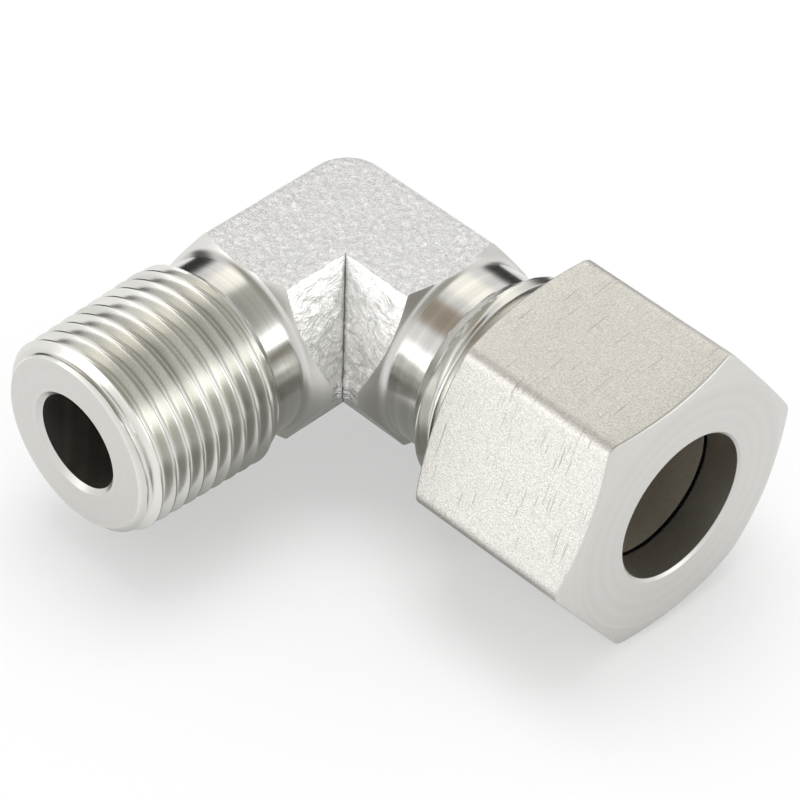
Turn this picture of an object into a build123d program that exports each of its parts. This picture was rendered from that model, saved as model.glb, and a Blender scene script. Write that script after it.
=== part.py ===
from build123d import *
import math
import os

# Male stud elbow for a 12 mm tube: a forged elbow body with a taper pipe thread,
# a hexagon union nut and a cutting ring. Millimetres. +X is the tube's axis,
# -Y the stud's axis and +Z is up. Distances along an arm are measured from the
# corner where the two bores cross. The origin is on the stud's axis, in the
# gauge plane of its taper thread, which meets the port's face.

# Forged block
forging_half_height = 7.75
forging_half_width = 9.3
flat_half_width = 4.45
trim_band_half_height = 0.75
corner_radius = 3.0
outer_edge_radius = 0.9
inner_edge_radius = 0.45

# Turned shoulders and necks
shoulder_angle = 30.0
shoulder_blend_radius = 0.8
stud_shoulder = 11.4
stud_neck_radius = 7.5
tube_shoulder = 11.9
collar_radius = 7.65
collar_length = 3.4
step_angle = 43.0

# Taper pipe thread of the stud
stud_length = 28.0
stud_thread_length = 12.8
gauge_length = 6.4
gauge_radius = 8.331
taper_thread_pitch = 1.337
taper_thread_flank_angle = 27.5
taper_thread_turn = 0.0
taper_on_radius = 1.0 / 32.0
stud_end_chamfer = 0.95
stud_bore_radius = 4.0
stud_bore_chamfer = 0.4

# Tube end of the body
tube_radius = 6.0
tube_clearance = 0.1
tube_stop = 17.0
body_bore_radius = 5.0
tube_bore_overrun = 0.35
tube_end = 23.9
seat_cone_radius = 7.05
seat_cone_angle = 12.0
nut_thread_radius = 9.0
nut_thread_pitch = 1.5
nut_thread_flank_angle = 30.0
nut_thread_run_out = 0.2
nut_thread_turn = 180.0
tube_end_chamfer = 0.9

# Union nut
nut_across_flats = 22.0
nut_length = 16.0
nut_face = 35.55
nut_turn = 6.8
nut_corner_radius = 1.1
nut_face_radius = 10.45
nut_chamfer_angle = 21.0
nut_hole_radius = 6.2
nut_hole_length = 3.2
nut_hole_chamfer = 0.4
nut_relief_radius = 8.2
nut_relief_length = 1.0
nut_entry_chamfer = 0.4
thread_clearance = 0.05

# Cutting ring
ring_length = 9.95
ring_gap = 0.3
ring_body_wall = 0.95
ring_collar_wall = 1.4
ring_collar_length = 2.0
ring_seat_clearance = 0.04
ring_cutting_edge = 1.1
ring_cutting_relief = 0.2

# Thread cutting, drilling and the reach of cutting shapes past the metal
thread_root_share = 0.125
thread_cutter_overlap = 0.12
drill_point_angle = 59.0
margin = 1.0
tolerance = 0.01


def rise(length, angle):
    """Radial rise of a cone over a length, with its half angle in degrees."""
    return length * math.tan(math.radians(angle))


# Places that follow from the sizes above
gauge_plane = stud_length - gauge_length
stud_thread_start = stud_length - stud_thread_length
taper_thread_depth = 0.6403 * taper_thread_pitch
taper_half_angle = math.degrees(math.atan(taper_on_radius))
collar_end = tube_shoulder + collar_length
nut_thread_depth = 0.6134 * nut_thread_pitch
nut_thread_start = collar_end + (nut_thread_radius - collar_radius) / math.tan(math.radians(step_angle))
socket_radius = tube_radius + tube_clearance
nut_back = nut_face - nut_length
nut_hole_end = nut_face - nut_hole_length
ring_back = nut_hole_end - ring_gap
ring_front = ring_back - ring_length
ring_back_radius = nut_hole_radius + ring_gap - ring_seat_clearance


def stud_crest_radius(place):
    """Crest radius of the taper thread at a distance from the corner."""
    return gauge_radius + (gauge_plane - place) * taper_on_radius


def along_stud(shape):
    """Turns a shape drawn along +X so that it lies along the stud."""
    return Rot(0, 0, -90) * shape


def turned(points):
    """A solid turned about the X axis from points of place and radius."""
    outline = make_face(Polyline(*points, close=True))
    return revolve(outline, Axis.X)


def helical_groove(pitch, depth, flank_angle, start, turns, crest, half_angle=0.0, turned_by=0.0):
    """A vee-shaped groove along +X with a face for each turn and flank, to cut a thread."""
    root_half = pitch * thread_root_share / 2
    mouth_half = root_half + rise(depth + thread_cutter_overlap, flank_angle)
    section = [
        (-mouth_half, thread_cutter_overlap),
        (-root_half, -depth),
        (root_half, -depth),
        (mouth_half, thread_cutter_overlap),
    ]
    slant_pitch = pitch / math.cos(math.radians(half_angle))
    skin = []
    for turn in range(turns):
        rails = []
        for side, height in section:
            place = turn * pitch + side
            radius = crest + rise(place, half_angle) + height
            centre = (0, 0, start + place)
            rails.append(Edge.make_helix(slant_pitch, pitch, radius, centre, (0, 0, 1), half_angle))
        skin += [Face.make_surface_from_curves(one, two) for one, two in zip(rails, rails[1:] + rails[:1])]
        if turn == 0:
            skin.append(Face(Wire.make_polygon([rail.position_at(0) for rail in rails], close=True)))
        if turn == turns - 1:
            skin.append(Face(Wire.make_polygon([rail.position_at(1) for rail in rails], close=True)))
    return Rot(0, 90, 0) * Rot(0, 0, turned_by) * Solid(Shell(skin))


def arm_section():
    """Right-hand side of a forged arm's section, as points of width and height."""
    side = [
        (flat_half_width, forging_half_height),
        (forging_half_width, trim_band_half_height),
        (forging_half_width, -trim_band_half_height),
        (flat_half_width, -forging_half_height),
    ]
    return side


def forged_arm(length):
    """One straight arm of the block, along +X from the corner."""
    right = arm_section()
    left = [(-width, height) for width, height in reversed(right)]
    start = corner_radius - flat_half_width
    section = make_face(Polyline(*right, *left, close=True))
    outline = Plane((start, 0, 0), x_dir=(0, 1, 0), z_dir=(1, 0, 0)) * section
    return extrude(outline, length - start)


def forged_corner():
    """The rounded outer corner, which carries the section through a quarter turn."""
    centre = flat_half_width - corner_radius
    reach = [(width - centre, height) for width, height in arm_section()]
    points = [(0, forging_half_height), *reach, (0, -forging_half_height)]
    plane = Plane((-centre, centre, 0), x_dir=(0, 1, 0), z_dir=(1, 0, 0))
    outline = plane * make_face(Polyline(*points, close=True))
    return revolve(outline, Axis((-centre, centre, 0), (0, 0, 1)), revolution_arc=90)


def forging():
    """The whole forged block with its rounded top and bottom edges."""
    reach = 2 * shoulder_blend_radius
    tube_arm = forged_arm(tube_shoulder + reach)
    stud_arm = along_stud(forged_arm(stud_shoulder + reach))
    block = tube_arm + stud_arm + forged_corner()
    block = block.clean()
    rims = [edge for edge in block.edges() if abs(abs(edge.center().Z) - forging_half_height) < tolerance]
    outer = [edge for edge in rims if edge.center().X < -tolerance or edge.center().Y > tolerance]
    outer = [edge for edge in outer if edge.length > corner_radius and not ends_arm(edge)]
    block = fillet(outer, outer_edge_radius)
    rims = [edge for edge in block.edges() if abs(abs(edge.center().Z) - forging_half_height) < tolerance]
    inner = [edge for edge in rims if edge.center().X > 0 and edge.center().Y < 0 and not ends_arm(edge)]
    return fillet(inner, inner_edge_radius)


def ends_arm(edge):
    """True for an edge that lies in the end plane of an arm."""
    box = edge.bounding_box()
    reach = 2 * shoulder_blend_radius
    at_tube = box.min.X > tube_shoulder + reach - tolerance
    at_stud = box.max.Y < -(stud_shoulder + reach) + tolerance
    return at_tube or at_stud


def shoulder_cutter(shoulder, neck_radius):
    """The ring of metal that turning takes off an arm's end, along +X."""
    outside = forging_half_width + margin
    end = shoulder + 2 * shoulder_blend_radius + margin
    back = shoulder - rise(outside - neck_radius, shoulder_angle)
    points = [(shoulder, neck_radius), (back, outside), (end, outside), (end, neck_radius)]
    outline = Polyline(*points, close=True)
    face = make_face(outline)
    corner = face.vertices().sort_by_distance((shoulder, neck_radius, 0))[0]
    return revolve(fillet(corner, shoulder_blend_radius), Axis.X)


def threaded_stud():
    """Neck and taper pipe thread, drawn from its small end and turned to face along +X."""
    crest_at_start = stud_crest_radius(stud_thread_start)
    crest_at_end = stud_crest_radius(stud_length)
    step_end = stud_thread_length + crest_at_start - stud_neck_radius
    root = stud_length - stud_shoulder + margin
    blank = turned([
        (0, 0),
        (0, crest_at_end - stud_end_chamfer),
        (stud_end_chamfer, crest_at_end),
        (stud_thread_length, crest_at_start),
        (step_end, stud_neck_radius),
        (root, stud_neck_radius),
        (root, 0),
    ])
    before = taper_thread_pitch
    turns = math.ceil((before + step_end) / taper_thread_pitch) + 1
    crest = crest_at_end - rise(before, taper_half_angle)
    groove = helical_groove(
        taper_thread_pitch, taper_thread_depth, taper_thread_flank_angle,
        -before, turns, crest, taper_half_angle, taper_thread_turn,
    )
    return Pos(stud_length, 0, 0) * Rot(0, 180, 0) * (blank - groove)


def threaded_tube_end():
    """Collar, step and fine thread for the nut, along +X."""
    blank = turned([
        (tube_shoulder - margin, 0),
        (tube_shoulder - margin, collar_radius),
        (collar_end, collar_radius),
        (nut_thread_start, nut_thread_radius),
        (tube_end - tube_end_chamfer, nut_thread_radius),
        (tube_end, nut_thread_radius - tube_end_chamfer),
        (tube_end, 0),
    ])
    start = nut_thread_start + nut_thread_run_out
    turns = math.ceil((tube_end - start) / nut_thread_pitch) + 1
    groove = helical_groove(
        nut_thread_pitch, nut_thread_depth, nut_thread_flank_angle,
        start, turns, nut_thread_radius, turned_by=nut_thread_turn,
    )
    return blank - groove


def body_bores():
    """Everything that is drilled and reamed out of the body."""
    mouth = stud_bore_radius + stud_bore_chamfer
    stud_bore = turned([
        (0, 0),
        (0, stud_bore_radius),
        (stud_length - stud_bore_chamfer, stud_bore_radius),
        (stud_length, mouth),
        (stud_length + margin, mouth),
        (stud_length + margin, 0),
    ])
    cone_depth = (seat_cone_radius - socket_radius) / math.tan(math.radians(seat_cone_angle))
    drill_tip = body_bore_radius / math.tan(math.radians(drill_point_angle))
    crossed = -stud_bore_radius - tube_bore_overrun
    tube_bore = turned([
        (crossed - drill_tip, 0),
        (crossed, body_bore_radius),
        (tube_stop, body_bore_radius),
        (tube_stop, socket_radius),
        (tube_end - cone_depth, socket_radius),
        (tube_end, seat_cone_radius),
        (tube_end + margin, seat_cone_radius),
        (tube_end + margin, 0),
    ])
    return along_stud(stud_bore) + tube_bore


def elbow_body():
    """The forged and turned elbow, one piece from stud to tube end."""
    block = forging() - shoulder_cutter(tube_shoulder, collar_radius)
    block = block - along_stud(shoulder_cutter(stud_shoulder, stud_neck_radius))
    block = block + threaded_tube_end() + along_stud(threaded_stud())
    return block - body_bores()


def hexagon_bar():
    """The nut's hexagon with its softly rounded corners."""
    hexagon = RegularPolygon(nut_across_flats / 2, 6, major_radius=False, rotation=nut_turn)
    hexagon = fillet(hexagon.vertices(), nut_corner_radius)
    outline = Plane((nut_back, 0, 0), x_dir=(0, 1, 0), z_dir=(1, 0, 0)) * hexagon
    return extrude(outline, nut_length)


def nut_envelope():
    """The turned outline whose end cones chamfer the hexagon's corners."""
    corner = nut_across_flats / math.sqrt(3) + margin
    cut = rise(corner - nut_face_radius, nut_chamfer_angle)
    return turned([
        (nut_back, 0),
        (nut_back, nut_face_radius),
        (nut_back + cut, corner),
        (nut_face - cut, corner),
        (nut_face, nut_face_radius),
        (nut_face, 0),
    ])


def nut_bore():
    """Tube hole, cone for the ring's shoulder, relief and thread bore."""
    thread_bore = nut_thread_radius + thread_clearance
    cone_end = nut_hole_end - (nut_relief_radius - nut_hole_radius)
    mouth = nut_hole_radius + nut_hole_chamfer
    entry = thread_bore + nut_entry_chamfer
    return turned([
        (nut_back - margin, 0),
        (nut_back - margin, entry),
        (nut_back, entry),
        (nut_back + nut_entry_chamfer, thread_bore),
        (cone_end - nut_relief_length, thread_bore),
        (cone_end - nut_relief_length, nut_relief_radius),
        (cone_end, nut_relief_radius),
        (nut_hole_end, nut_hole_radius),
        (nut_face - nut_hole_chamfer, nut_hole_radius),
        (nut_face, mouth),
        (nut_face + margin, mouth),
        (nut_face + margin, 0),
    ])


def union_nut():
    """Hexagon nut that clamps the ring on the tube."""
    return (hexagon_bar() & nut_envelope()) - nut_bore()


def cutting_ring():
    """Hardened ring with a 24 degree nose and a 45 degree back shoulder."""
    slope = math.tan(math.radians(seat_cone_angle))
    collar_outside = socket_radius + ring_collar_wall
    body_outside = socket_radius + ring_body_wall
    nose_radius = seat_cone_radius - (tube_end - ring_front) * slope - ring_seat_clearance
    nose_end = ring_front + (body_outside - nose_radius) / slope
    collar_back = ring_back - (collar_outside - ring_back_radius)
    collar_front = collar_back - ring_collar_length
    body_end = collar_front - (collar_outside - body_outside)
    edge_bore = socket_radius + ring_cutting_relief
    return turned([
        (ring_front, edge_bore),
        (ring_front, nose_radius),
        (nose_end, body_outside),
        (body_end, body_outside),
        (collar_front, collar_outside),
        (collar_back, collar_outside),
        (ring_back, ring_back_radius),
        (ring_back, socket_radius),
        (ring_front + ring_cutting_edge, socket_radius),
        (ring_front + ring_cutting_edge, edge_bore),
    ])


pieces = {
    "elbow_body": elbow_body(),
    "union_nut": union_nut(),
    "cutting_ring": cutting_ring(),
}
os.makedirs("parts", exist_ok=True)
for name, piece in pieces.items():
    export_step(Pos(0, gauge_plane, 0) * piece, f"parts/{name}.step")
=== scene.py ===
import math

import bmesh
import bpy
import numpy as np
from bpy.props import FloatProperty, FloatVectorProperty, PointerProperty
from mathutils import Matrix, Vector


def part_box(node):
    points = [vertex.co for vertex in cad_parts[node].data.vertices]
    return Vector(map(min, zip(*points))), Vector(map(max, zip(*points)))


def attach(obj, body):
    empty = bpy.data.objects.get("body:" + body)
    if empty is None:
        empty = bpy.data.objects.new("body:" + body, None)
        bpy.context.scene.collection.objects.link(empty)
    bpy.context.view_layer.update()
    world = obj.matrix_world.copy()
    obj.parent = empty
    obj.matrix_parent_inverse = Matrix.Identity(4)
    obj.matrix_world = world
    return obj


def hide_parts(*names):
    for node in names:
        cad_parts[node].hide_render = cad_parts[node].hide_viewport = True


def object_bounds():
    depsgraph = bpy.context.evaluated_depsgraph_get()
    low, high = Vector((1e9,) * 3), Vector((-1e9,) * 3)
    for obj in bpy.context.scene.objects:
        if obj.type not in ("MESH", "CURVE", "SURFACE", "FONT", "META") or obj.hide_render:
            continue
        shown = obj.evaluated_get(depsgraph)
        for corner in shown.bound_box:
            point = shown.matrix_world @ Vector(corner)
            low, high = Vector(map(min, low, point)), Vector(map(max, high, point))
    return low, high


# Looks of a male stud elbow with a union nut and a cutting ring. Metres, in the
# part's own frame: +X is the tube's axis, -Y the stud's axis and +Z is up.
bl_info = {
    "name": "Male stud elbow",
    "version": (1, 0, 0),
    "blender": (4, 5, 0),
    "location": "View3D > Sidebar > Elbow",
    "description": "Builds the forged elbow, its threads, the union nut and a soft light studio",
    "category": "Mesh",
}

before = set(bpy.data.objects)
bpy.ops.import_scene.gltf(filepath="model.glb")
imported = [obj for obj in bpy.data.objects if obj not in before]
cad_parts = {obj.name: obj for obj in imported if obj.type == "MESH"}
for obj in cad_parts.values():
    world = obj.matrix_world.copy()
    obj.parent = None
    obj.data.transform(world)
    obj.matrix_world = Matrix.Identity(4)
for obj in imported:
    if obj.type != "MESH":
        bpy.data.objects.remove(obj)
CAD_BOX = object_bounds()
MM = 0.001
TAU = 2 * math.pi

ring_low, ring_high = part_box("cutting_ring")
CORNER = Vector((0, (ring_low.y + ring_high.y) / 2, 0))
NUT_LOW, NUT_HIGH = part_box("union_nut")


class ElbowSizes(bpy.types.PropertyGroup):
    """Sizes of the elbow's body."""

    half_height: FloatProperty(
        name="Half height", description="Half the height of the forged block",
        default=7.75 * MM, unit="LENGTH")
    half_width: FloatProperty(
        name="Half width", description="Half the width of the forged block at its trim band",
        default=9.3 * MM, unit="LENGTH")
    flat_half_width: FloatProperty(
        name="Flat half width", description="Half the width of the block's top flat",
        default=4.45 * MM, unit="LENGTH")
    band_half_height: FloatProperty(
        name="Band half height", description="Half the height of the trim band",
        default=0.75 * MM, unit="LENGTH")
    corner_radius: FloatProperty(
        name="Corner radius", description="Radius of the top flat's outer corner",
        default=3.0 * MM, unit="LENGTH")
    outer_edge_radius: FloatProperty(
        name="Outer edge radius", description="Rounding of the outer top and bottom edges",
        default=0.9 * MM, unit="LENGTH")
    inner_edge_radius: FloatProperty(
        name="Inner edge radius", description="Rounding of the inner top and bottom edges",
        default=0.45 * MM, unit="LENGTH")
    shoulder_blend: FloatProperty(
        name="Shoulder blend", description="Fillet between a shoulder cone and its neck",
        default=0.8 * MM, unit="LENGTH")
    shoulder_angle: FloatProperty(
        name="Shoulder angle", description="Lean of the turned shoulder cones",
        default=math.radians(30), subtype="ANGLE")
    tube_shoulder: FloatProperty(
        name="Tube shoulder", description="From the corner to the foot of the tube arm's cone",
        default=11.9 * MM, unit="LENGTH")
    collar_radius: FloatProperty(
        name="Collar radius", description="Radius of the collar behind the nut",
        default=7.65 * MM, unit="LENGTH")
    stud_shoulder: FloatProperty(
        name="Stud shoulder", description="From the corner to the foot of the stud arm's cone",
        default=11.4 * MM, unit="LENGTH")
    neck_radius: FloatProperty(
        name="Neck radius", description="Radius of the neck behind the stud's thread",
        default=7.5 * MM, unit="LENGTH")


class ThreadSizes(bpy.types.PropertyGroup):
    """Sizes of the two threads."""

    stud_pitch: FloatProperty(
        name="Stud pitch", description="Pitch of the taper thread",
        default=1.337 * MM, unit="LENGTH")
    stud_length: FloatProperty(
        name="Stud length", description="From the corner to the stud's end face",
        default=28.0 * MM, unit="LENGTH")
    stud_thread_length: FloatProperty(
        name="Thread length", description="Length of the taper thread",
        default=12.8 * MM, unit="LENGTH")
    stud_crest_radius: FloatProperty(
        name="Crest radius", description="Crest radius of the taper thread at its small end",
        default=8.131 * MM, unit="LENGTH")
    stud_bore_radius: FloatProperty(
        name="Stud bore", description="Radius of the bore through the stud",
        default=4.0 * MM, unit="LENGTH")
    nut_pitch: FloatProperty(
        name="Nut thread pitch", description="Pitch of the fine thread under the nut",
        default=1.5 * MM, unit="LENGTH")
    nut_radius: FloatProperty(
        name="Nut thread radius", description="Crest radius of the fine thread",
        default=9.0 * MM, unit="LENGTH")
    tube_end: FloatProperty(
        name="Tube end", description="From the corner to the end face that carries the cone seat",
        default=23.9 * MM, unit="LENGTH")
    seat_radius: FloatProperty(
        name="Seat radius", description="Mouth radius of the cone seat",
        default=7.05 * MM, unit="LENGTH")


class NutSizes(bpy.types.PropertyGroup):
    """Sizes of the union nut."""

    across_flats: FloatProperty(
        name="Across flats", description="Width of the hexagon across its flats",
        default=22.0 * MM, unit="LENGTH")
    corner_rounding: FloatProperty(
        name="Corner rounding", description="Radius of the hexagon's long edges",
        default=1.12 * MM, unit="LENGTH")
    turn: FloatProperty(
        name="Turn", description="How far the top flat leans towards the outer corner",
        default=math.radians(-6.8), subtype="ANGLE")
    face_radius: FloatProperty(
        name="Face radius", description="Radius of the flat end faces inside the chamfer",
        default=10.45 * MM, unit="LENGTH")
    chamfer_angle: FloatProperty(
        name="Chamfer angle", description="Slope of the end chamfers",
        default=math.radians(21), subtype="ANGLE")
    hole_radius: FloatProperty(
        name="Hole radius", description="Radius of the hole for the tube",
        default=6.2 * MM, unit="LENGTH")
    hole_length: FloatProperty(
        name="Hole length", description="Length of the hole's straight land",
        default=3.2 * MM, unit="LENGTH")
    relief_radius: FloatProperty(
        name="Relief radius", description="Radius between the inner cone and the thread bore",
        default=8.2 * MM, unit="LENGTH")
    bore_radius: FloatProperty(
        name="Bore radius", description="Radius of the plain thread bore",
        default=9.05 * MM, unit="LENGTH")


class SteelColours(bpy.types.PropertyGroup):
    """Base colours of the steel's finishes."""

    forged: FloatVectorProperty(
        name="Forged", description="Blasted forging skin", subtype="COLOR",
        default=(0.98, 0.955, 0.92), min=0, max=1)
    crumpled: FloatVectorProperty(
        name="Crumpled", description="Creased inner faces of the forging", subtype="COLOR",
        default=(0.82, 0.815, 0.80), min=0, max=1)
    turned: FloatVectorProperty(
        name="Turned", description="Fresh turned steel", subtype="COLOR",
        default=(0.66, 0.652, 0.625), min=0, max=1)
    threads: FloatVectorProperty(
        name="Threads", description="Cut threads", subtype="COLOR",
        default=(0.74, 0.732, 0.695), min=0, max=1)
    nut: FloatVectorProperty(
        name="Nut", description="Blasted nut flats", subtype="COLOR",
        default=(0.755, 0.735, 0.695), min=0, max=1)
    hardened: FloatVectorProperty(
        name="Hardened", description="Cutting ring", subtype="COLOR",
        default=(0.57, 0.53, 0.45), min=0, max=1)
    # Kept darker than the turned steel as painted shade inside the bores
    bores: FloatVectorProperty(
        name="Bores", description="Drilled and reamed bores", subtype="COLOR",
        default=(0.50, 0.48, 0.44), min=0, max=1)


def settings(context):
    """The sizes and colours that the panel shows."""
    scene = context.scene
    return scene.elbow_sizes, scene.thread_sizes, scene.nut_sizes, scene.steel_colours


# Sizes that the panel doesn't show
COLLAR_LENGTH = 3.4 * MM
THREAD_GROOVE = 1.1 * MM
BORE_CHAMFER = 0.4 * MM
OUTLINE_STEP = 0.15 * MM
SHARP_ANGLE = math.radians(28)
# The rise of the forging's creases along an arm, which its shader follows
CREASE_SLANT = 0.12


# Outlines

def rounded_outline(points, radii, step):
    """Points round a closed polygon whose corners are arcs, about one step apart."""
    count = len(points)
    runs = []
    for index, (corner, radius) in enumerate(zip(points, radii)):
        here = np.array(corner, float)
        before = np.array(points[index - 1], float) - here
        after = np.array(points[(index + 1) % count], float) - here
        before /= np.linalg.norm(before)
        after /= np.linalg.norm(after)
        half = math.acos(max(-1, min(1, float(before @ after)))) / 2
        if radius <= 0 or half > math.pi / 2 - 1e-3:
            runs.append([here])
            continue
        bisector = (before + after) / np.linalg.norm(before + after)
        centre = here + bisector * radius / math.sin(half)
        first = here + before * radius / math.tan(half) - centre
        last = here + after * radius / math.tan(half) - centre
        sweep = math.pi - 2 * half
        parts = max(3, round(radius * sweep / step))
        arc = []
        for part in range(parts + 1):
            share = part / parts
            blend = first * math.sin((1 - share) * sweep) + last * math.sin(share * sweep)
            arc.append(centre + blend / math.sin(sweep))
        runs.append(arc)
    outline = []
    for index, run in enumerate(runs):
        start, end = run[-1], runs[(index + 1) % count][0]
        parts = max(1, round(float(np.linalg.norm(end - start)) / step))
        outline += run
        outline += [start + (end - start) * part / parts for part in range(1, parts)]
    return np.array(outline)


# Mesh building

def linked(name, data):
    """An object with this data, in the scene."""
    obj = bpy.data.objects.new(name, data)
    bpy.context.scene.collection.objects.link(obj)
    return obj


def skin_object(name, grids, merge=1e-7):
    """A mesh from grids of points, each with a material index and whether it closes around."""
    verts, faces, slots = [], [], []
    base = 0
    for grid, slot, wrap in grids:
        rows, columns = grid.shape[:2]
        verts.append(grid.reshape(-1, 3))
        index = np.arange(rows * columns).reshape(rows, columns) + base
        right = np.roll(index, -1, axis=1) if wrap else index[:, 1:]
        left = index if wrap else index[:, :-1]
        quads = np.stack([left[:-1], right[:-1], right[1:], left[1:]], axis=-1).reshape(-1, 4)
        faces.append(quads)
        slots.append(np.full(len(quads), slot))
        base += rows * columns
    mesh = bpy.data.meshes.new(name)
    mesh.from_pydata(np.concatenate(verts).tolist(), [], np.concatenate(faces).tolist())
    mesh.polygons.foreach_set("material_index", np.concatenate(slots).astype(np.int32))
    body = bmesh.new()
    body.from_mesh(mesh)
    bmesh.ops.remove_doubles(body, verts=body.verts, dist=merge)
    bmesh.ops.dissolve_degenerate(body, edges=body.edges, dist=merge)
    bmesh.ops.recalc_face_normals(body, faces=body.faces)
    body.to_mesh(mesh)
    body.free()
    obj = linked(name, mesh)
    mesh.shade_smooth()
    mesh.set_sharp_from_angle(angle=SHARP_ANGLE)
    return obj


def tube_arm(s, w, h):
    """Points of the tube arm from places along it, widths to the inner corner and heights."""
    return np.stack([s, -w, h], axis=-1) + np.array(CORNER)


def stud_arm(s, w, h):
    """Points of the stud arm from places along it, widths to the inner corner and heights."""
    return np.stack([w, -s, h], axis=-1) + np.array(CORNER)


# The forged block

def arm_outline(sizes):
    """Widths and heights of an arm's section, going round from the top flat's mitre line."""
    turn_at = sizes.corner_radius - sizes.flat_half_width
    flat, tall = sizes.flat_half_width, sizes.half_height
    wide, band = sizes.half_width, sizes.band_half_height
    inner, outer, trim = sizes.inner_edge_radius, sizes.outer_edge_radius, 0.3 * MM
    points = [
        (turn_at, tall), (flat, tall), (wide, band), (wide, -band), (flat, -tall),
        (turn_at, -tall), (-flat, -tall), (-wide, -band), (-wide, band), (-flat, tall),
    ]
    radii = [0, inner, trim, trim, inner, 0, outer, trim, trim, outer]
    return rounded_outline(points, radii, OUTLINE_STEP)


def shoulder_profile(shoulder, neck, blend, angle, radius, cone_parts=14, blend_parts=8):
    """Places and radii down a shoulder's cone and fillet, from each starting radius to the neck."""
    tangent = blend / math.tan((math.pi - (math.pi / 2 - angle)) / 2)
    meet = neck + tangent * math.cos(angle)
    arc_centre = shoulder + tangent
    top = np.maximum(radius, neck + 1e-6)
    foot = np.minimum(top, meet)
    radii = [top + (foot - top) * part / cone_parts for part in range(cone_parts + 1)]
    for part in range(1, blend_parts + 1):
        share = 1 - part / blend_parts
        radii.append(neck + (foot - neck) * share * share)
    places = []
    for here in radii:
        on_arc = np.clip(neck + blend - here, -blend, blend)
        arc = arc_centre - np.sqrt(np.maximum(blend * blend - on_arc * on_arc, 0))
        cone = shoulder - (here - neck) * math.tan(angle)
        places.append(np.where(here > meet, cone, arc))
    return np.array(places), np.array(radii)


def arm_skin(place, sizes, outline, shoulder, neck, neck_end, rows=56, neck_rows=12):
    """Grids of one arm: the forged faces, the shoulder and the neck."""
    w, h = outline[:, 0], outline[:, 1]
    angle = np.arctan2(h, w)
    start = np.maximum(w, sizes.corner_radius - sizes.flat_half_width)
    s, r = shoulder_profile(
        shoulder, neck, sizes.shoulder_blend, sizes.shoulder_angle, np.hypot(w, h))
    share = np.linspace(0, 1, rows)[:, None]
    forged = place(start + (s[0] - start) * share, w + 0 * share, h + 0 * share)
    turned = place(s, r * np.cos(angle), r * np.sin(angle))
    last = s[-1][None, :]
    along = np.linspace(0, 1, neck_rows)[:, None]
    neck_s = last + (neck_end - last) * along
    ring = place(neck_s, neck * np.cos(angle) + 0 * along, neck * np.sin(angle) + 0 * along)
    return forged, turned, ring


def corner_skin(sizes, outline, rows=30):
    """Grid of the outer corner, which turns the section's outer half through a right angle."""
    turn_at = sizes.corner_radius - sizes.flat_half_width
    outer = outline[outline[:, 0] <= turn_at + 1e-9]
    half = np.concatenate([outer[outer[:, 1] < 0], outer[outer[:, 1] >= 0]])
    order = np.argsort(np.unwrap(np.arctan2(half[:, 1], half[:, 0] - turn_at) % TAU))
    reach, height = turn_at - half[order, 0], half[order, 1]
    angle = np.linspace(0, math.pi / 2, rows)[:, None]
    x = turn_at - reach * np.sin(angle)
    y = -turn_at + reach * np.cos(angle)
    return np.stack([x, y, height + 0 * angle], axis=-1) + np.array(CORNER)


# Waves that make up the creases: share, rate across, rate down and phase
CREASES = (
    (0.42, 1.5, 0.35, 0.4), (0.28, 2.3, -0.8, 1.9), (0.18, 4.1, 1.3, 3.1), (0.12, 5.3, -2.6, 5.0),
)


def crumple(across, down):
    """Height of the forging's creases, about -1 to 1, from places across and down them."""
    u, w = across / MM, down / MM
    warp = np.sin(0.55 * u - 0.8 * w + 0.6) + 0.6 * np.sin(1.3 * u + 0.7 * w + 2.0)
    height = 0
    for share, across_rate, down_rate, phase in CREASES:
        wave = np.abs(np.sin(across_rate * u + down_rate * w + phase + warp))
        height = height + share * (1 - 2 * wave)
    return height


def press_inner_corner(mesh, sizes):
    """Creases the inner faces, sinks the fold on their mitre line and raises the flash tab."""
    edge_gap, edge_fade = 0.1 * MM, 0.7 * MM
    end_gap, end_fade = 1.1 * MM, 0.9 * MM
    crease_height, crease_stretch, arm_shift, calm = 0.09 * MM, 0.6, 3 * MM, 0.4 * MM
    fold_depth, fold_width = 0.15 * MM, 0.12 * MM
    tab_rise, tab_width, tab_height = 0.3 * MM, 0.35 * MM, 0.9 * MM

    spots = np.empty(len(mesh.vertices) * 3)
    mesh.vertices.foreach_get("co", spots)
    spots = spots.reshape(-1, 3)
    x, v, z = spots[:, 0], CORNER.y - spots[:, 1], spots[:, 2]
    reach, along = np.minimum(x, v), np.maximum(x, v)
    tube_side = x >= v
    flank = np.clip((reach - sizes.flat_half_width - edge_gap) / edge_fade, 0, 1)
    end = np.where(tube_side, sizes.tube_shoulder, sizes.stud_shoulder) - end_gap
    weight = flank * np.clip((end - along) / end_fade, 0, 1)

    rise = sizes.half_height - sizes.band_half_height
    run = sizes.half_width - sizes.flat_half_width
    lean = math.hypot(rise, run)
    out, up = rise / lean, run / lean * np.sign(z)
    normal = np.stack([np.where(tube_side, 0, out), np.where(tube_side, -out, 0), up], axis=-1)
    creases = crumple(z + CREASE_SLANT * along, crease_stretch * along + arm_shift * tube_side)
    fold = (along - reach) / math.sqrt(2)
    lift = creases * crease_height * weight * (1 - np.exp(-(fold / calm) ** 2))
    tab = np.exp(-(fold / tab_width) ** 4) * np.exp(-(z / tab_height) ** 4)
    sink = fold_depth * np.exp(-(fold / fold_width) ** 2) * (1 - tab) - tab_rise * tab
    inwards = np.array([-1, 1, 0]) / math.sqrt(2)
    spots = spots + normal * lift[:, None] + inwards * (sink * weight)[:, None]
    mesh.vertices.foreach_set("co", spots.ravel())
    mesh.update()


# Material indices of the block; each arm's shoulder is followed by its neck
FORGED, CRUMPLED, TUBE_TURNED, STUD_TURNED = 0, 1, 2, 4


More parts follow.
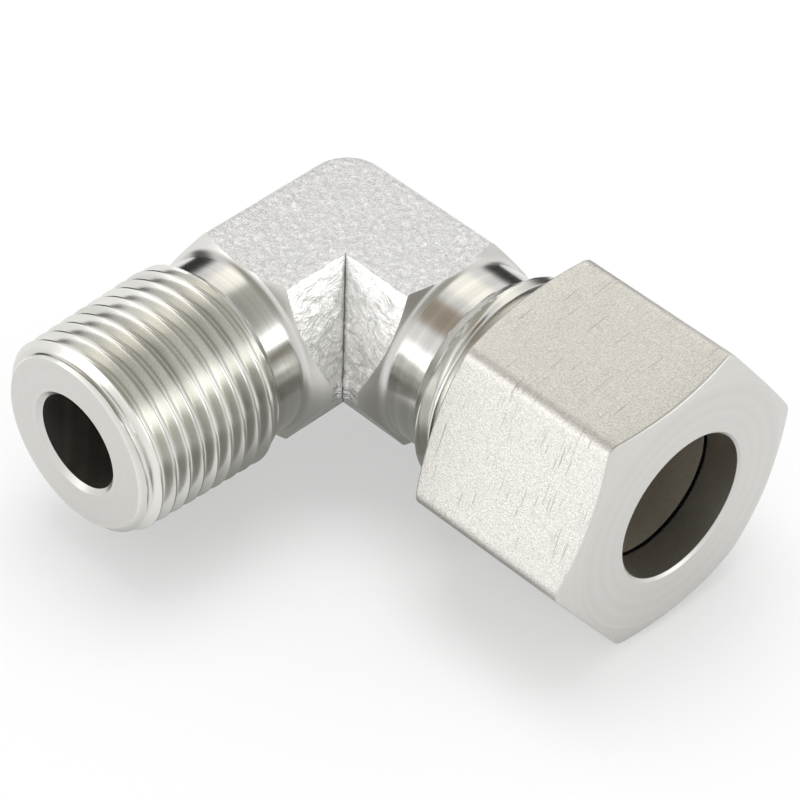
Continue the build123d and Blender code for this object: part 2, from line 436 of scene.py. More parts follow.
def build_block(sizes, threads):
    """The forged block with its shoulders and necks."""
    outline = arm_outline(sizes)
    collar_end = sizes.tube_shoulder + COLLAR_LENGTH
    neck_end = threads.stud_length - threads.stud_thread_length - THREAD_GROOVE
    grids = []
    for place, shoulder, neck, end, slot in (
        (tube_arm, sizes.tube_shoulder, sizes.collar_radius, collar_end, TUBE_TURNED),
        (stud_arm, sizes.stud_shoulder, sizes.neck_radius, neck_end, STUD_TURNED),
    ):
        forged, turned, ring = arm_skin(place, sizes, outline, shoulder, neck, end)
        grids += [(forged, FORGED, True), (turned, slot, True), (ring, slot + 1, True)]
    grids.append((corner_skin(sizes, outline), FORGED, False))
    block = skin_object("elbow_block", grids)
    press_inner_corner(block.data, sizes)
    inner_edge = sizes.flat_half_width + 0.05 * MM
    for face in block.data.polygons:
        inner = min(face.center.x, CORNER.y - face.center.y) > inner_edge
        if inner and face.material_index == FORGED:
            face.material_index = CRUMPLED
    return block


# The threads

# Depth as a share of the pitch, flank angle, and crest width as a share of the pitch
PIPE_FORM = (0.6403, math.radians(27.5), 0.1)
METRIC_FORM = (0.6134, math.radians(30), 0.125)
# Where round its arm each thread starts, in turns and as an angle
STUD_THREAD_TURN = -0.05
NUT_THREAD_TURN = math.radians(90)
# How the skin's first rows slip under the neck
TUCK_LENGTH, TUCK_DEPTH = 0.1 * MM, 0.05 * MM


def groove_depth(distance, pitch, form):
    """Depth of a thread with narrow crests and rounded roots, from the middle of its groove."""
    depth, flank, crest = form[0] * pitch, form[1], form[2] * pitch
    q = np.abs(distance)
    reach = (pitch - crest) / 2
    peak = reach / math.tan(flank)
    radius = (peak - depth) / (1 / math.sin(flank) - 1)
    root = peak - radius / math.sin(flank) + np.sqrt(np.maximum(radius * radius - q * q, 0))
    straight = (reach - q) / math.tan(flank)
    return np.maximum(np.where(q < radius * math.cos(flank), root, straight), 0)


def threaded_skin(
        name, place, pitch, first, last, envelope, groove, right_hand, inner,
        columns=240, samples=20, face_rows=10):
    """A skin whose rows follow the helix, cut by groove and envelope, with its flat end face."""
    theta = np.linspace(0, TAU, columns + 1)[None, :]
    count = int(math.ceil((last - first) / pitch) + 2) * samples
    rows = (np.arange(count) / samples - 1)[:, None] * pitch
    turns = theta / TAU if right_hand else 1 - theta / TAU
    s = np.clip(first + rows + turns * pitch, first, last)
    r = np.minimum(envelope(s), groove(s, theta))
    grid = place(s, r * np.cos(theta), r * np.sin(theta))
    rim = np.minimum(envelope(np.full_like(theta, last)), groove(last, theta))
    r = rim + (inner - rim) * np.linspace(0, 1, face_rows)[:, None]
    face = place(last + 0 * r, r * np.cos(theta), r * np.sin(theta))
    return skin_object(name, [(grid, 0, False), (face, 1, False)])


def build_stud_thread(sizes, threads):
    """The taper pipe thread with its chamfers and end face."""
    pitch, end = threads.stud_pitch, threads.stud_length
    start = end - threads.stud_thread_length
    first = start - 1.6 * MM
    taper, chamfer = 1 / 32, 0.95 * MM

    def crest(s):
        return threads.stud_crest_radius + (end - s) * taper

    def envelope(s):
        step = crest(s) - np.maximum(start - s, 0)
        nose = crest(s) - np.maximum(s - (end - chamfer), 0)
        r = np.minimum(np.maximum(step, sizes.neck_radius), nose)
        return np.where(s < first + TUCK_LENGTH, sizes.neck_radius - TUCK_DEPTH, r)

    def groove(s, theta):
        along = (s - start) / pitch - theta / TAU - STUD_THREAD_TURN
        distance = (along - np.round(along)) * pitch
        return crest(s) - groove_depth(distance, pitch, PIPE_FORM)

    inner = threads.stud_bore_radius + BORE_CHAMFER
    return threaded_skin(
        "stud_thread", stud_arm, pitch, first, end, envelope, groove, True, inner)


def build_tube_end(sizes, threads):
    """The step, the fine thread and the end face with the cone seat's mouth."""
    pitch, end = threads.nut_pitch, threads.tube_end
    low, high = sizes.collar_radius, threads.nut_radius
    collar_end = sizes.tube_shoulder + COLLAR_LENGTH
    first = collar_end - 0.2 * MM
    slope = math.tan(math.radians(43))
    groove_start = collar_end + (high - low) / slope + 0.2 * MM
    chamfer, fade_angle = 0.9 * MM, 1.1

    def envelope(s):
        step = np.clip(low + (s - collar_end) * slope, low, high)
        nose = high - np.maximum(s - (end - chamfer), 0)
        return np.where(s < first + TUCK_LENGTH, low - TUCK_DEPTH, np.minimum(step, nose))

    def groove(s, theta):
        turned = np.mod(NUT_THREAD_TURN - theta, TAU)
        along = (s - groove_start) / pitch - turned / TAU
        turn = np.round(along)
        fade = np.clip((turn * TAU + turned) / fade_angle, 0, 1)
        depth = groove_depth((along - turn) * pitch, pitch, METRIC_FORM)
        return high - depth * np.where(turn < 0, 0, fade)

    return threaded_skin(
        "tube_thread", tube_arm, pitch, first, end, envelope, groove, False, threads.seat_radius)


def build_bores(threads):
    """The drilled and reamed inside of the body, taken from the body's own walls."""
    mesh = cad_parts["elbow_body"].data.copy()
    mesh.name = "elbow_bores"
    mesh.materials.clear()
    body = bmesh.new()
    body.from_mesh(mesh)
    stud_reach = threads.stud_bore_radius + BORE_CHAMFER + 0.02 * MM
    seat_reach = threads.seat_radius + 0.01 * MM
    outside = []
    for face in body.faces:
        spots = [vert.co for vert in face.verts]
        in_stud = all(
            math.hypot(co.x, co.z) < stud_reach and co.y < CORNER.y for co in spots)
        in_tube = all(
            math.hypot(co.y - CORNER.y, co.z) < seat_reach and co.x > -stud_reach
            for co in spots)
        if not (in_stud or in_tube):
            outside.append(face)
    bmesh.ops.delete(body, geom=outside, context="FACES")
    rim = CORNER.y - threads.stud_length + BORE_CHAMFER + 0.05 * MM
    for face in body.faces:
        face.material_index = int(all(vert.co.y < rim for vert in face.verts))
    body.to_mesh(mesh)
    body.free()
    return linked("elbow_bores", mesh)


# The union nut

# Material indices of the nut
FLATS, FACE, BORE = 0, 1, 2


def nut_outline(sizes, step=0.25 * MM):
    """Places across the tube's axis and heights of the rounded hexagon."""
    radius = sizes.across_flats / math.sqrt(3)
    points = []
    for corner in range(6):
        angle = sizes.turn + math.radians(60 * corner + 30)
        points.append((radius * math.sin(angle), radius * math.cos(angle)))
    return rounded_outline(points, [sizes.corner_rounding] * 6, step)


def rounded_profile(corners, arc_parts=5):
    """Places, radii and finish of each run round a closed profile, its corners rounded."""
    count = len(corners)
    arcs = []
    for index, (s, r, radius, _, _) in enumerate(corners):
        here = np.stack([s, r], axis=-1)
        before = np.stack(corners[index - 1][:2], axis=-1) - here
        after = np.stack(corners[(index + 1) % count][:2], axis=-1) - here
        before_length = np.linalg.norm(before, axis=-1, keepdims=True)
        after_length = np.linalg.norm(after, axis=-1, keepdims=True)
        before = before / np.maximum(before_length, 1e-9)
        after = after / np.maximum(after_length, 1e-9)
        cosine = np.clip((before * after).sum(-1, keepdims=True), -0.9999, 0.9999)
        room = np.minimum(before_length, after_length) * 0.45
        tangent = np.minimum(radius / np.tan(np.arccos(cosine) / 2), room)
        if radius == 0:
            arcs.append([here])
            continue
        start, end = here + before * tangent, here + after * tangent
        shares = [part / arc_parts for part in range(arc_parts + 1)]
        arcs.append([
            start * (1 - share) ** 2 + 2 * here * share * (1 - share) + end * share ** 2
            for share in shares])
    runs = []
    for index, (_, _, _, parts, finish) in enumerate(corners):
        last, following = arcs[index][-1], arcs[(index + 1) % count][0]
        straight = [last + (following - last) * part / parts for part in range(1, parts + 1)]
        run = np.array(arcs[index] + straight)
        runs.append((run[..., 0], run[..., 1], finish))
    return runs


def build_nut(sizes):
    """The hexagon with its chamfers, tube hole, inner cone and thread bore."""
    outline = nut_outline(sizes)
    y, z = outline[:, 0], outline[:, 1]
    hexagon = np.hypot(y, z)
    angle = np.arctan2(z, -y)
    back, face = NUT_LOW.x, NUT_HIGH.x
    cut = np.maximum(hexagon - sizes.face_radius, 0) * math.tan(sizes.chamfer_angle)
    hole, relief, bore = sizes.hole_radius, sizes.relief_radius, sizes.bore_radius
    hole_end = face - sizes.hole_length
    cone_end = hole_end - (relief - hole)
    relief_end = cone_end - 1.0 * MM
    soft, crisp, lip_edge = 0.25 * MM, 0.05 * MM, 0.06 * MM
    mouth, lip = 0.4 * MM, 0.22 * MM
    # Place, radius, rounding, and the parts and finish of the run to the next corner
    corners = [
        (back, bore + mouth, crisp, 4, FACE),
        (back, sizes.face_radius, soft, 6, FACE),
        (back + cut, hexagon, soft, 6, FLATS),
        (face - cut, hexagon, soft, 30, FACE),
        (face, sizes.face_radius, soft, 6, FACE),
        (face, hole + lip, lip_edge, 12, FACE),
        (face - lip, hole, lip_edge, 3, BORE),
        (hole_end, hole, crisp, 5, BORE),
        (cone_end, relief, 0.0, 5, BORE),
        (relief_end, relief, 0.0, 3, BORE),
        (relief_end, bore, 0.0, 3, BORE),
        (back + mouth, bore, 0.0, 8, BORE),
    ]
    whole = np.ones_like(hexagon)
    corners = [(s * whole, r * whole, *rest) for s, r, *rest in corners]
    grids = [
        (tube_arm(s, r * np.cos(angle), r * np.sin(angle)), finish, True)
        for s, r, finish in rounded_profile(corners)]
    return skin_object("union_nut_skin", grids)


# Shader helpers

class Nodes:
    """Shorthand for building one node tree."""

    def __init__(self, tree):
        self.tree = tree

    def add(self, kind, inputs=None, **options):
        """A node of a kind, with its options and the values or links of its inputs."""
        node = self.tree.nodes.new(kind)
        for name, value in options.items():
            setattr(node, name, value)
        for name, value in (inputs or {}).items():
            socket = node.inputs[name]
            if isinstance(value, bpy.types.NodeSocket):
                self.tree.links.new(value, socket)
            else:
                socket.default_value = value
        return node

    def math(self, operation, first, second=0.0, clamp=False):
        """The result of an operation on one or two values."""
        return self.add(
            "ShaderNodeMath", {0: first, 1: second}, operation=operation, use_clamp=clamp
        ).outputs[0]

    def plus(self, first, second):
        return self.math("ADD", first, second)

    def minus(self, first, second):
        return self.math("SUBTRACT", first, second)

    def times(self, first, second, clamp=False):
        return self.math("MULTIPLY", first, second, clamp)

    def ramp(self, factor, stops, interpolation="LINEAR"):
        """A value or colour looked up along stops."""
        node = self.add("ShaderNodeValToRGB", {"Fac": factor})
        ramp = node.color_ramp
        ramp.interpolation = interpolation
        while len(ramp.elements) < len(stops):
            ramp.elements.new(1.0)
        for element, (place, value) in zip(ramp.elements, stops):
            element.position = place
            element.color = value if isinstance(value, tuple) else (value, value, value, 1)
        return node.outputs["Color"]

    def place(self):
        """The spot on the surface, in the part's own frame."""
        return self.add("ShaderNodeTexCoord").outputs["Object"]

    def axes(self):
        """The X, Y and Z of that spot."""
        return self.add("ShaderNodeSeparateXYZ", {0: self.place()}).outputs

    def noise(self, place, scale, detail, roughness, distortion=0.0):
        """A cloudy value over the surface."""
        return self.add("ShaderNodeTexNoise", {
            "Vector": place, "Scale": scale, "Detail": detail, "Roughness": roughness,
            "Distortion": distortion,
        }).outputs["Fac"]

    def effect(self, name, inputs):
        """The outputs of an effect's shader group, which is built on its first use."""
        group = bpy.data.node_groups.get(name) or EFFECTS[name]()
        return self.add("ShaderNodeGroup", inputs, node_tree=group).outputs


def cleared(owner):
    """The emptied node tree of a material or world."""
    owner.use_nodes = True
    owner.node_tree.nodes.clear()
    return owner.node_tree


def new_group(name, inputs, outputs):
    """An empty shader group with numbers in, each with its default, and numbers out."""
    group = bpy.data.node_groups.new(name, "ShaderNodeTree")
    kind = "NodeSocketFloat"
    for label, default in inputs.items():
        socket = group.interface.new_socket(name=label, in_out="INPUT", socket_type=kind)
        socket.default_value = default
    for label in outputs:
        group.interface.new_socket(name=label, in_out="OUTPUT", socket_type=kind)
    entry = group.nodes.new("NodeGroupInput").outputs
    leave = group.nodes.new("NodeGroupOutput").inputs
    return group, Nodes(group), entry, leave


def blast_grain_group():
    """Fine sparkle of a blasted skin over faint patches: a height and a tone."""
    group, nodes, entry, leave = new_group(
        "blast grain", {"Scale": 9000.0, "Patch Scale": 400.0}, ("Height", "Tone"))
    place = nodes.place()
    grain = nodes.noise(place, entry["Scale"], 2.0, 0.6)
    patch = nodes.noise(place, entry["Patch Scale"], 4.0, 0.6, 0.4)
    group.links.new(grain, leave["Height"])
    group.links.new(nodes.plus(nodes.times(grain, 0.6), nodes.times(patch, 0.4)), leave["Tone"])
    return group


def wrinkle_group():
    """Worm-like wrinkles of a forging skin: a height."""
    group, nodes, entry, leave = new_group(
        "wrinkles", {"Scale": 1100.0, "Distortion": 1.5}, ("Height",))
    cloud = nodes.noise(nodes.place(), entry["Scale"], 4.0, 0.62, entry["Distortion"])
    crease = nodes.math("ABSOLUTE", nodes.minus(cloud, 0.5))
    group.links.new(nodes.times(crease, 4.0, clamp=True), leave["Height"])
    return group


def scratch_group():
    """Short scratches across the part's X axis: a mask that is 1 in a scratch."""
    group, nodes, entry, leave = new_group(
        "scratches", {"Fine Scale": 9000.0, "Long Scale": 500.0, "Least": 0.66}, ("Mask",))
    x, y, z = nodes.axes()
    stretched = nodes.add("ShaderNodeCombineXYZ", {
        0: nodes.times(x, entry["Fine Scale"]),
        1: nodes.times(y, entry["Long Scale"]),
        2: nodes.times(z, entry["Long Scale"]),
    })
    streak = nodes.noise(stretched.outputs[0], 1.0, 1.0, 0.5, 0.2)
    above = nodes.minus(streak, entry["Least"])
    group.links.new(nodes.times(above, 14.0, clamp=True), leave["Mask"])
    return group


def turning_group():
    """Fine rings that a lathe leaves around an axis, from places along it: a height and a tone."""
    group, nodes, entry, leave = new_group(
        "turning marks", {"Scale": 9000.0, "Along": 0.0}, ("Height", "Tone"))
    fine, wide = [
        nodes.add(
            "ShaderNodeTexNoise", {"W": entry["Along"], "Scale": scale, "Detail": 2.0},
            noise_dimensions="1D").outputs["Fac"]
        for scale in (entry["Scale"], nodes.times(entry["Scale"], 0.12))]
    group.links.new(nodes.plus(fine, wide), leave["Height"])
    group.links.new(wide, leave["Tone"])
    return group


# Effects that more than one finish uses
EFFECTS = {
    "blast grain": blast_grain_group,
    "wrinkles": wrinkle_group,
    "scratches": scratch_group,
    "turning marks": turning_group,
}


class Steel(Nodes):
    """A steel material, with the means to tone, darken and bump its shader."""

    def __init__(self, name, colour, roughness, metallic=1.0):
        self.material = bpy.data.materials.new(name)
        self.colour = tuple(colour)
        super().__init__(cleared(self.material))
        self.shader = self.add("ShaderNodeBsdfPrincipled", {
            "Base Color": (*colour, 1), "Metallic": metallic, "Roughness": roughness})
        self.add("ShaderNodeOutputMaterial", {0: self.shader.outputs[0]})

    def shade(self, share):
        """A share of the steel's colour, no lighter than white."""
        return tuple(min(1, share * part) for part in self.colour) + (1,)

    def toned(self, tone, low, high, stops=(0.38, 0.62)):
        """Lets the base colour run from a darker to a lighter share of itself along a tone."""
        mixed = self.ramp(tone, list(zip(stops, (self.shade(low), self.shade(high)))))
        self.tree.links.new(mixed, self.shader.inputs["Base Color"])

    def covered(self, mask, colour):
        """Mixes a second colour over the base colour where a mask is 1."""
        base = self.shader.inputs["Base Color"]
        values = {0: mask, 6: base.links[0].from_socket, 7: colour}
        mixed = self.add("ShaderNodeMix", values, data_type="RGBA")
        self.tree.links.new(mixed.outputs[2], base)

    def bumped(self, height, strength, distance):
        """Feeds a height to the shader's normal."""
        values = {"Height": height, "Strength": strength, "Distance": distance}
        bump = self.add("ShaderNodeBump", values)
        self.tree.links.new(bump.outputs[0], self.shader.inputs["Normal"])


# Finishes

def forged_steel(colour):
    """Blasted forging skin, warm light grey with worm-like wrinkles."""
    nodes = Steel("forged steel", colour, 0.31, metallic=0.54)
    grain = nodes.effect("blast grain", {"Scale": 7000.0, "Patch Scale": 2600.0})
    worm = nodes.effect("wrinkles", {"Scale": 1700.0, "Distortion": 1.2})
    nodes.toned(grain["Tone"], 0.8, 1.1, (0.4, 0.6))
    nodes.bumped(nodes.plus(grain["Height"], nodes.times(worm["Height"], 1.8)), 0.95, 0.06 * MM)
    return nodes.material


def crumpled_steel(colour):
    """Inner faces of the forging, creased like foil, with painted shade in the creases' valleys and
    a painted shade line down their fold.
    """
    stretch, fade_top, fade_length = 0.42, 7.5 * MM, 11 * MM
    fold_waver, fold_width = 0.25 * MM, 0.07 * MM
    nodes = Steel("crumpled steel", colour, 0.24)
    x, y, z = nodes.axes()
    back = nodes.minus(CORNER.y, y)
    along = nodes.math("MAXIMUM", x, back)
    slanted = nodes.add("ShaderNodeCombineXYZ", {
        0: nodes.times(along, stretch),
        1: nodes.plus(z, nodes.times(along, CREASE_SLANT)),
        2: nodes.math("GREATER_THAN", x, back),
    }).outputs[0]
    crease = nodes.noise(slanted, 620.0, 4.0, 0.62, 0.5)
    crease = nodes.math("ABSOLUTE", nodes.minus(crease, 0.5))
    dent = nodes.noise(slanted, 2500.0, 4.0, 0.68, 0.3)
    # Painted shade: darker in the creases' valleys
    nodes.toned(crease, 0.82, 1.0, (0.0, 0.05))
    # Painted shade: a dark, wavering line down the fold where the inner faces meet
    waver = nodes.times(nodes.minus(dent, 0.5), fold_waver)
    apart = nodes.math("ABSOLUTE", nodes.plus(nodes.minus(x, back), waver))
    nodes.covered(nodes.math("LESS_THAN", apart, fold_width), nodes.shade(0.5))
    lower = nodes.math("DIVIDE", nodes.minus(fade_top, z), fade_length, clamp=True)
    height = nodes.plus(nodes.times(crease, 1.8), nodes.times(dent, 1.1))
    nodes.bumped(nodes.times(height, nodes.plus(lower, 0.25)), 1.0, 0.25 * MM)
    return nodes.material


def flat_steel(colour):
    """Blasted flats of the nut with short scratches across them."""
    nodes = Steel("nut flat steel", colour, 0.40)
    grain = nodes.effect("blast grain", {"Scale": 8500.0, "Patch Scale": 6000.0})
    deep = nodes.effect("scratches", {"Least": 0.685, "Long Scale": 330.0})["Mask"]
    nodes.toned(grain["Tone"], 0.84, 1.1, (0.42, 0.58))
    nodes.covered(deep, nodes.shade(0.68))
    nodes.bumped(nodes.minus(grain["Height"], nodes.times(deep, 0.5)), 0.7, 0.05 * MM)
    return nodes.material


def turned_steel(name, colour, roughness, axis, strength):
    """Lathe-turned steel with rings around an axis, 0 for X and 1 for Y."""
    nodes = Steel(name, colour, roughness)
    marks = nodes.effect("turning marks", {"Scale": 6000.0, "Along": nodes.axes()[axis]})
    nodes.toned(marks["Tone"], 0.88, 1.08)
    nodes.bumped(marks["Height"], strength, 0.02 * MM)
    return nodes.material


def faced_steel(name, colour, roughness, axis):
    """A face turned on a lathe, with rings around an axis, 0 for X and 1 for Y."""
    nodes = Steel(name, colour, roughness)
    x, y, z = nodes.axes()
    side = x if axis else nodes.minus(y, CORNER.y)
    radius = nodes.math("SQRT", nodes.plus(nodes.times(side, side), nodes.times(z, z)))
    marks = nodes.effect("turning marks", {"Scale": 14000.0, "Along": radius})
    nodes.toned(marks["Tone"], 0.985, 1.015)
    nodes.bumped(marks["Height"], 0.015, 0.02 * MM)
    return nodes.material


def drilled_steel(name, colour):
    """Drilled steel of the body's bores, with slanting marks."""
    nodes = Steel(name, colour, 0.34)
    x, y, _ = nodes.axes()
    marks = nodes.effect("turning marks", {"Scale": 2600.0, "Along": nodes.plus(x, y)})
    nodes.toned(marks["Tone"], 0.75, 1.2)
    nodes.bumped(marks["Height"], 0.3, 0.03 * MM)
    return nodes.material


def reamed_steel(name, colour, roughness, skin=None):
    """Smooth bore of the nut or the ring, with painted black shade beyond a given radius round the
    tube's axis.
    """
    nodes = Steel(name, colour, roughness)
    grain = nodes.effect("blast grain", {"Scale": 5000.0, "Patch Scale": 500.0})
    nodes.toned(grain["Tone"], 0.92, 1.06)
    if skin:
        kind = "ShaderNodeVectorMath"
        centred = nodes.add(kind, {0: nodes.place(), 1: tuple(CORNER)}, operation="SUBTRACT")
        across = nodes.add(kind, {0: centred.outputs[0], 1: (0, 1, 1)}, operation="MULTIPLY")
        radius = nodes.add(kind, {0: across.outputs[0]}, operation="LENGTH").outputs["Value"]
        # Painted shade: black beyond that radius, where the ring lies in shadow inside the nut
        nodes.covered(nodes.math("GREATER_THAN", radius, skin), (0.02, 0.02, 0.02, 1))
    return nodes.material


def dress(obj, body, materials):
    """Gives a piece its finishes and lets it ride on its body."""
    for material in materials:
        obj.data.materials.append(material)
    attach(obj, body)
    return obj


# Operators

class ELBOW_OT_block(bpy.types.Operator):
    """Build the forged block, its shoulders and necks, and the bores inside"""

    bl_idname = "elbow.block"
    bl_label = "Forged block"

    def execute(self, context):
        sizes, threads, _, colours = settings(context)
        turned = colours.turned
        finishes = [forged_steel(colours.forged), crumpled_steel(colours.crumpled)]
        for arm, axis in (("tube", 0), ("stud", 1)):
            finishes += [
                turned_steel(arm + " shoulder steel", turned, 0.3, axis, 0.1),
                turned_steel(arm + " neck steel", turned, 0.17, axis, 0.05),
            ]
        block = dress(build_block(sizes, threads), "elbow", finishes)
        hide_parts("elbow_body")
        bore = drilled_steel("bore steel", colours.bores)
        rim = faced_steel("bore rim steel", turned, 0.3, 1)
        dress(build_bores(threads), "elbow", [bore, rim])
        return {"FINISHED"}


class ELBOW_OT_threads(bpy.types.Operator):
    """Build the taper thread of the stud and the fine thread under the nut"""

    bl_idname = "elbow.threads"
    bl_label = "Threads"

    def execute(self, context):
        sizes, threads, _, colours = settings(context)
        fresh, turned = colours.threads, colours.turned
        for build, axis, label in ((build_stud_thread, 1, "stud"), (build_tube_end, 0, "tube end")):
            cut = turned_steel(label + " thread steel", fresh, 0.22, axis, 0.04)
            face = faced_steel(label + " face steel", turned, 0.4, axis)
            dress(build(sizes, threads), "elbow", [cut, face])
        return {"FINISHED"}


class ELBOW_OT_nut(bpy.types.Operator):
    """Build the union nut and finish the cutting ring"""

    bl_idname = "elbow.nut"
    bl_label = "Nut and ring"

    def execute(self, context):
        _, _, nut, colours = settings(context)
        flats = flat_steel(colours.nut)
        face = faced_steel("nut face steel", colours.turned, 0.42, 0)
        bore = reamed_steel("nut bore steel", colours.bores, 0.4)
        skin = dress(build_nut(nut), "nut", [flats, face, bore])
        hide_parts("union_nut")
        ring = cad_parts["cutting_ring"]
        # The ring is painted black beyond 6.13 mm as shade, where it lies inside the nut
        hard = reamed_steel("ring steel", colours.hardened, 0.62, 6.13 * MM)
        ring.data.materials.clear()
        ring.data.materials.append(hard)
        return {"FINISHED"}


class ELBOW_OT_studio(bpy.types.Operator):
    """Set up the floor, the soft lights, the background and the camera"""

    bl_idname = "elbow.studio"
    bl_label = "Studio"

    def execute(self, context):
        build_floor()
        build_world()
        build_lights()
        build_camera()
        context.scene.view_settings.view_transform = "Standard"
        return {"FINISHED"}


# The studio

CENTRE = (CAD_BOX[0] + CAD_BOX[1]) / 2
FLOOR_HALF = 1.5
FLOOR_COLOUR = (0.8, 0.8, 0.8, 1)
# How much of the floor glows white for the camera and reflections; the rest keeps the shadow
FLOOR_GLOW = 0.4
SOFT_LIGHT = 0.9
LAMP_SIZE, LAMP_POWER = 0.4, 1.8
LAMP_OFFSET = Vector((-0.1, 0.1, 0.6))
# Cards that the steel mirrors: name, direction, distance, width, height and brightness
CARDS = (
    ("right_softbox", (0.75, 0.52, 0.39), 0.45, 0.32, 0.27, (2.5, 2.5, 2.48)),
    ("left_softbox", (-0.51, -0.80, 0.15), 0.45, 0.38, 0.35, (2.2, 2.2, 2.2)),
    ("top_softbox", (-0.50, 0.47, 0.72), 0.45, 0.31, 0.25, (1.42, 1.38, 1.29)),
    ("back_flag", (-0.86, 0.51, 0.03), 0.09, 0.26, 0.080, (0.04, 0.04, 0.04)),
    ("front_flag", (-0.50, -0.24, 0.83), 0.48, 0.30, 0.30, (0.42, 0.36, 0.29)),
    ("high_flag", (0.14, 0.0, 0.99), 0.52, 1.00, 0.90, (0.42, 0.42, 0.37)),
    # Painted shadow: a dark card just under the part, seen only in reflections, stands for its
    # shadow on the floor
    ("floor_shadow_card", (0.0, 0.0, -1.0), 0.0115, 0.050, 0.046, (0.30, 0.30, 0.285)),
)


def stage_plane(name, middle, half_width, half_height):
    """A flat rectangle of the stage, with the emptied tree of its material."""
    (x, y, z), w, h = middle, half_width, half_height
    mesh = bpy.data.meshes.new(name)
    spots = [(x - w, y - h, z), (x + w, y - h, z), (x + w, y + h, z), (x - w, y + h, z)]
    mesh.from_pydata(spots, [], [(0, 1, 2, 3)])
    material = bpy.data.materials.new(name)
    mesh.materials.append(material)
    return linked(name, mesh), Nodes(cleared(material))


def white_for_view(nodes):
    """1 for camera, glossy and transmission rays, 0 for the light that falls on the part."""
    path = nodes.add("ShaderNodeLightPath").outputs
    seen = nodes.math("MAXIMUM", path["Is Camera Ray"], path["Is Glossy Ray"])
    return nodes.math("MAXIMUM", seen, path["Is Transmission Ray"])


def mixed_surface(nodes, share, first, second, output="ShaderNodeOutputMaterial"):
    """Ends a tree in a mix of two shaders."""
    mixed = nodes.add("ShaderNodeMixShader", {0: share, 1: first.outputs[0], 2: second.outputs[0]})
    nodes.add(output, {0: mixed.outputs[0]})


def build_floor():
    """A pale floor under the part."""
    middle = (CENTRE.x, CENTRE.y, CAD_BOX[0].z)
    floor, nodes = stage_plane("floor", middle, FLOOR_HALF, FLOOR_HALF)
    diffuse = nodes.add("ShaderNodeBsdfDiffuse", {"Color": FLOOR_COLOUR})
    glow = nodes.add("ShaderNodeEmission", {"Color": (1, 1, 1, 1), "Strength": 1.0})
    mixed_surface(nodes, nodes.times(white_for_view(nodes), FLOOR_GLOW), diffuse, glow)


def build_world():
    """Soft light from all round, and a white background for the camera and reflections."""
    world = bpy.data.worlds.new("studio")
    bpy.context.scene.world = world
    nodes = Nodes(cleared(world))
    soft, white = [
        nodes.add("ShaderNodeBackground", {"Color": (1, 1, 1, 1), "Strength": strength})
        for strength in (SOFT_LIGHT, 1.0)]
    mixed_surface(nodes, white_for_view(nodes), soft, white, "ShaderNodeOutputWorld")


def build_card(name, direction, distance, width, height, brightness):
    """A soft-edged card that only reflections show."""
    card, nodes = stage_plane(name, (0, 0, 0), width / 2, height / 2)
    aim = Vector(direction).normalized()
    card.location = CENTRE + aim * distance
    card.rotation_mode = "QUATERNION"
    card.rotation_quaternion = aim.to_track_quat("Z", "Y")
    spot = nodes.add("ShaderNodeTexCoord").outputs["Generated"]
    across = nodes.add("ShaderNodeSeparateXYZ", {0: spot}).outputs
    soft_edges = [(0.0, 0.0), (0.25, 1.0), (0.75, 1.0), (1.0, 0.0)]
    cover = nodes.times(*[nodes.ramp(across[axis], soft_edges, "EASE") for axis in (0, 1)])
    glow = nodes.add("ShaderNodeEmission", {"Color": (*brightness, 1), "Strength": 1.0})
    mixed_surface(nodes, cover, nodes.add("ShaderNodeBsdfTransparent"), glow)
    card.visible_camera = card.visible_diffuse = card.visible_shadow = False
    card.visible_transmission = False


def build_lights():
    """A large soft lamp for the shadow and the cards that the steel mirrors."""
    lamp = bpy.data.lights.new("key", "AREA")
    lamp.size = LAMP_SIZE
    lamp.energy = LAMP_POWER
    obj = linked("key", lamp)
    obj.location = CENTRE + LAMP_OFFSET
    obj.rotation_mode = "QUATERNION"
    obj.rotation_quaternion = (-LAMP_OFFSET).to_track_quat("-Z", "Y")
    obj.visible_glossy = False
    for card in CARDS:
        build_card(*card)


# Where the photograph was taken from: a view fitted to the part's edges
CAMERA_AZIMUTH = math.radians(44.463)
CAMERA_ELEVATION = math.radians(42.916)
CAMERA_ROLL = math.radians(1.624)
CAMERA_DISTANCE = 307.4 * MM
FOCAL_PIXELS = 3947.5
PICTURE_PIXELS = 800
CORNER_PIXEL = (346.129, 274.364)
SENSOR_WIDTH = 36.0


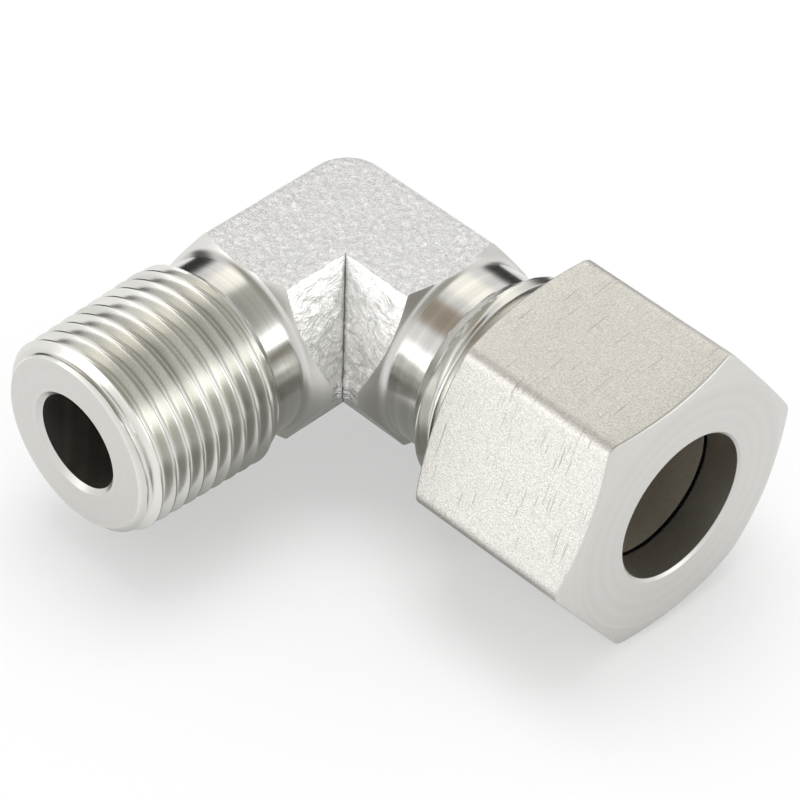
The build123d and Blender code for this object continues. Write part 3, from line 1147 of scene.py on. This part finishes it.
def build_camera():
    """The camera, placed so that the corner of the bores falls on its pixel."""
    a, e, roll = CAMERA_AZIMUTH, CAMERA_ELEVATION, CAMERA_ROLL
    back = Vector((math.sin(a) * math.cos(e), -math.cos(a) * math.cos(e), math.sin(e)))
    right = Vector((math.cos(a), math.sin(a), 0))
    up = back.cross(right)
    turned_right = right * math.cos(roll) + up * math.sin(roll)
    turned_up = up * math.cos(roll) - right * math.sin(roll)
    half = PICTURE_PIXELS / 2
    over = (CORNER_PIXEL[0] - half) / FOCAL_PIXELS * CAMERA_DISTANCE
    down = (CORNER_PIXEL[1] - half) / FOCAL_PIXELS * CAMERA_DISTANCE
    location = CORNER + back * CAMERA_DISTANCE - turned_right * over + turned_up * down
    camera = bpy.data.cameras.new("camera")
    camera.sensor_width = SENSOR_WIDTH
    camera.lens = FOCAL_PIXELS * SENSOR_WIDTH / PICTURE_PIXELS
    camera.clip_start, camera.clip_end = 0.01, 10
    obj = linked("camera", camera)
    columns = Matrix((turned_right, turned_up, back)).transposed()
    obj.matrix_world = Matrix.Translation(location) @ columns.to_4x4()
    bpy.context.scene.camera = obj


class ELBOW_PT_panel(bpy.types.Panel):
    """Sizes, colours and builders of the elbow"""

    bl_label = "Male stud elbow"
    bl_space_type = "VIEW_3D"
    bl_region_type = "UI"
    bl_category = "Elbow"

    def draw(self, context):
        layout = self.layout
        for group in settings(context):
            box = layout.box()
            for name in group.__class__.__annotations__:
                box.prop(group, name)
        for operator in OPERATORS:
            layout.operator(operator.bl_idname)


GROUPS = (
    ("elbow_sizes", ElbowSizes),
    ("thread_sizes", ThreadSizes),
    ("nut_sizes", NutSizes),
    ("steel_colours", SteelColours),
)
OPERATORS = (ELBOW_OT_block, ELBOW_OT_threads, ELBOW_OT_nut, ELBOW_OT_studio)


def register():
    """Registers the classes and hangs the settings on the scene."""
    for name, group in GROUPS:
        bpy.utils.register_class(group)
        setattr(bpy.types.Scene, name, PointerProperty(type=group))
    for operator in OPERATORS:
        bpy.utils.register_class(operator)
    bpy.utils.register_class(ELBOW_PT_panel)


def unregister():
    """Takes the classes and settings away again."""
    bpy.utils.unregister_class(ELBOW_PT_panel)
    for operator in reversed(OPERATORS):
        bpy.utils.unregister_class(operator)
    for name, group in reversed(GROUPS):
        delattr(bpy.types.Scene, name)
        bpy.utils.unregister_class(group)


def main():
    register()
    bpy.ops.elbow.block()
    bpy.ops.elbow.threads()
    bpy.ops.elbow.nut()
    bpy.ops.elbow.studio()
    bpy.context.view_layer.update()


if __name__ == "__main__":
    main()
